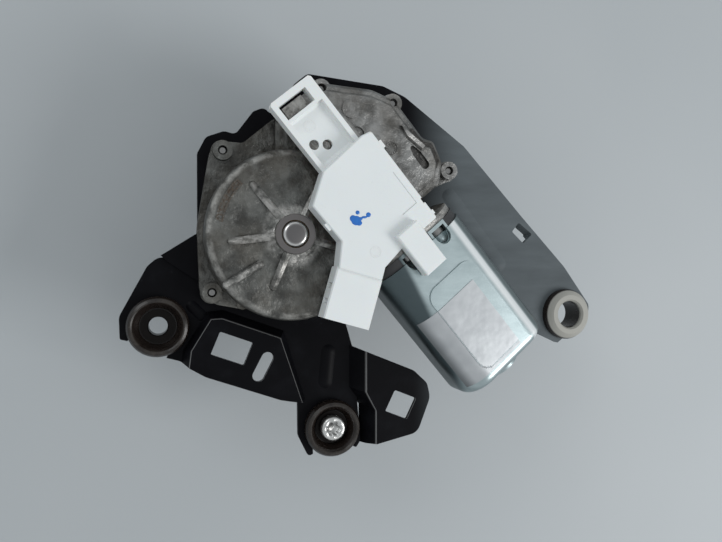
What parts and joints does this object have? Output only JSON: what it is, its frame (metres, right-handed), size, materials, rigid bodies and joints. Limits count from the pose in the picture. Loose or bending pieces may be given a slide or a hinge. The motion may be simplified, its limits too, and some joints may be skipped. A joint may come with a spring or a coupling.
{
  "type": "rear wiper motor",
  "caption": "Rear wiper motor: worm gearbox and ribbed can on a black stamped bracket with rubber grommets, white plug cover and a threaded wiper spindle.",
  "frame": {"origin": "on the spindle axis, at the underside of the bracket sheet, where the pivot flange seats", "axes": "+Z along the spindle towards the gearbox casting, so the spindle thread points to -Z; +X towards the long bracket arm; +Y towards the circuit bay"},
  "size_m": [0.2386, 0.1802, 0.1133],
  "materials": {
    "bracket_paint": "semi-gloss black",
    "cast_aluminium": "as cast, dull",
    "pivot_casting": "machined casting",
    "gasket": "matt",
    "zinc_screw": "zinc plated",
    "sintered_bronze": "sintered",
    "washer_steel": "plain",
    "seal_rubber": "matt",
    "shaft_steel": "ground",
    "wheel_polymer": "natural",
    "hub_steel": "sintered",
    "magnet_ferrite": "ferrite",
    "worm_steel": "rolled",
    "lamination": "stacked sheet",
    "winding": "enamelled copper",
    "copper": "turned copper",
    "insulator": "moulded resin",
    "can_zinc": "zinc plated",
    "card_plastic": "black",
    "carbon": "carbon",
    "spring_steel": "drawn",
    "board_green": "lacquered",
    "chip_black": "moulded",
    "capacitor_sleeve": "shrunk film",
    "white_plastic": "white",
    "tin_plate": "tinned",
    "choke_ferrite": "ferrite and wire",
    "grommet_rubber": "glossy brown black",
    "spacer_black": "black coated",
    "bolt_zinc": "zinc plated"
  },
  "bodies": {
    "frame_unit": {"mounting_bracket": "bracket_paint", "gearbox_housing": "cast_aluminium", "housing_seal": "gasket", "cover_screws": "zinc_screw", "pivot_sleeve": "pivot_casting", "sleeve_bushes": "sintered_bronze", "housing_bush": "sintered_bronze", "thrust_washer": "washer_steel", "shaft_seal": "seal_rubber", "end_washer": "washer_steel", "worm_end_bush": "sintered_bronze", "thrust_button": "insulator", "front_bearing": "sintered_bronze", "rear_bearing": "sintered_bronze", "motor_can": "can_zinc", "can_screws": "zinc_screw", "brush_holder": "card_plastic", "carbon_brushes": "carbon", "brush_springs": "spring_steel", "field_magnets": "magnet_ferrite", "circuit_board": "board_green", "power_switches": "chip_black", "control_chip": "chip_black", "storage_capacitor": "capacitor_sleeve", "connector_cover": "white_plastic", "plug_terminals": "tin_plate", "suppressor_choke": "choke_ferrite", "grommet_left": "grommet_rubber", "grommet_lower": "grommet_rubber", "grommet_right": "grommet_rubber", "spacer_sleeve_left": "spacer_black", "spacer_sleeve_lower": "spacer_black", "mounting_bolt": "bolt_zinc"},
    "output": {"output_shaft": "shaft_steel", "worm_wheel": "wheel_polymer", "wheel_hub": "hub_steel", "sensor_magnet": "magnet_ferrite", "retaining_ring": "washer_steel"},
    "armature": {"armature_shaft": "worm_steel", "armature_core": "lamination", "armature_windings": "winding", "commutator": "copper", "commutator_core": "insulator"}
  },
  "joints": [
    {"name": "spindle_turn", "type": "hinge", "parent": "frame_unit", "child": "output", "pos_m": [0, 0, 0], "axis": [0, 0, 1], "range_deg": [0, 172]},
    {"name": "armature_spin", "type": "hinge", "parent": "frame_unit", "child": "armature", "pos_m": [0.03055, 0.02582, 0.0185], "axis": [0.6455, -0.7638, 0], "range_deg": [0, 9632]}
  ],
  "couplings": [
    {"joint": "spindle_turn", "follows": "armature_spin", "ratio": 0.017857}
  ]
}
